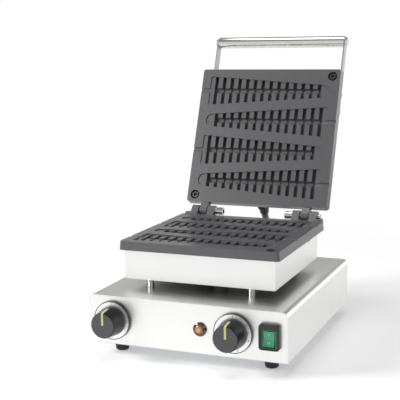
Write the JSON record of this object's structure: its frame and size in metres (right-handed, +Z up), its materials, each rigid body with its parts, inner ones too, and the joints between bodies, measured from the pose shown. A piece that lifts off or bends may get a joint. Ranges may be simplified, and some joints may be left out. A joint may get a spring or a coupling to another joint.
{
  "type": "lollipop waffle maker",
  "caption": "Countertop lollipop waffle maker: a sheet-steel base on feet carries a raised heater box, a hinged pair of cast plates with tree-shaped moulds, dials, lamp and rocker switch.",
  "frame": {"origin": "on the surface it stands on, under the middle of the open machine's bounding box, 45 mm behind the middle of the base", "axes": "+Z up, -Y out of the front panel with the controls, +X to the right as seen from the front"},
  "size_m": [0.3, 0.4876, 0.4505],
  "materials": {
    "sheet_steel": "satin stainless steel sheet",
    "underside_steel": "zinc-plated steel sheet",
    "cast_plate": "cast aluminium with a dark glossy non-stick coating",
    "bright_steel": "polished stainless steel",
    "plated_fixing": "zinc-plated steel fixing",
    "dial_silver": "spun silver dial face",
    "knob_black": "satin black moulded plastic",
    "pointer_cream": "pale yellow moulded plastic insert",
    "moulded_black": "black moulded nylon",
    "foot_rubber": "black rubber",
    "conduit_grey": "dark grey flexible sleeve",
    "lamp_bezel": "bright rim",
    "lamp_amber": "pale amber lens",
    "rocker_green": "green translucent plastic",
    "boot_clear": "clear silicone cover",
    "heater_sheath": "heat-stained steel sheath",
    "bulb_copper": "copper bulb and capillary",
    "ceramic_fibre": "ceramic fibre blanket",
    "terminal_nylon": "natural nylon terminal block"
  },
  "bodies": {
    "base": {"base_cover": "sheet_steel", "front_panel": "sheet_steel", "rear_panel": "sheet_steel", "bottom_plate": "underside_steel", "bottom_screws": "plated_fixing", "feet": "foot_rubber", "foot_fixings": "plated_fixing", "standoff_posts": "bright_steel", "lower_box_wrap": "sheet_steel", "lower_box_front": "sheet_steel", "lower_box_floor": "sheet_steel", "lower_plate": "cast_plate", "lower_plate_fixing": "plated_fixing", "tie_studs": "plated_fixing", "box_screws": "plated_fixing", "lower_heating_element": "heater_sheath", "lower_clamp_plate": "underside_steel", "lower_clamp_screws": "plated_fixing", "lower_insulation": "ceramic_fibre", "thermostat_bulb": "bulb_copper", "wiring_sleeve": "moulded_black", "capillary_bush": "moulded_black", "timer_body": "moulded_black", "timer_dial": "dial_silver", "thermostat_body": "moulded_black", "thermostat_dial": "dial_silver", "indicator_bezel": "lamp_bezel", "indicator_lens": "lamp_amber", "indicator_body": "moulded_black", "switch_housing": "moulded_black", "switch_boot": "boot_clear", "inlet_gland": "moulded_black", "terminal_block": "terminal_nylon", "hinge_bolts": "bright_steel", "lower_hinge_ears": "cast_plate", "conduit_gland_base": "moulded_black", "conduit": "conduit_grey"},
    "lid": {"upper_plate": "cast_plate", "upper_hinge_lugs": "cast_plate", "upper_plate_fixings": "plated_fixing", "upper_cover": "sheet_steel", "upper_cover_sides": "sheet_steel", "cover_fixings": "plated_fixing", "upper_heating_element": "heater_sheath", "upper_clamp_plate": "underside_steel", "upper_clamp_screws": "plated_fixing", "upper_insulation": "ceramic_fibre", "handle_arms": "sheet_steel", "handle_tube": "bright_steel", "handle_plugs": "moulded_black", "handle_screws": "plated_fixing", "arm_fixings": "plated_fixing", "conduit_gland_lid": "moulded_black"},
    "timer_control": {"timer_shaft": "plated_fixing", "timer_knob": "knob_black", "timer_pointer": "pointer_cream"},
    "thermostat_control": {"thermostat_shaft": "plated_fixing", "thermostat_knob": "knob_black", "thermostat_pointer": "pointer_cream"},
    "rocker": {"power_rocker": "rocker_green"}
  },
  "joints": [
    {"name": "lid_hinge", "type": "hinge", "parent": "base", "child": "lid", "pos_m": [0, 0.08625, 0.164], "axis": [1, 0, 0], "range_deg": [0, 112], "deforming": ["conduit"]},
    {"name": "timer_knob_turn", "type": "hinge", "parent": "base", "child": "timer_control", "pos_m": [-0.111, -0.21525, 0.055], "axis": [0, 1, 0], "range_deg": [0, 300]},
    {"name": "thermostat_knob_turn", "type": "hinge", "parent": "base", "child": "thermostat_control", "pos_m": [0.073, -0.21525, 0.055], "axis": [0, 1, 0], "range_deg": [0, 270]},
    {"name": "power_rocker_tilt", "type": "hinge", "parent": "base", "child": "rocker", "pos_m": [0.1251, -0.21225, 0.0528], "axis": [1, 0, 0], "range_deg": [0, 14]}
  ]
}
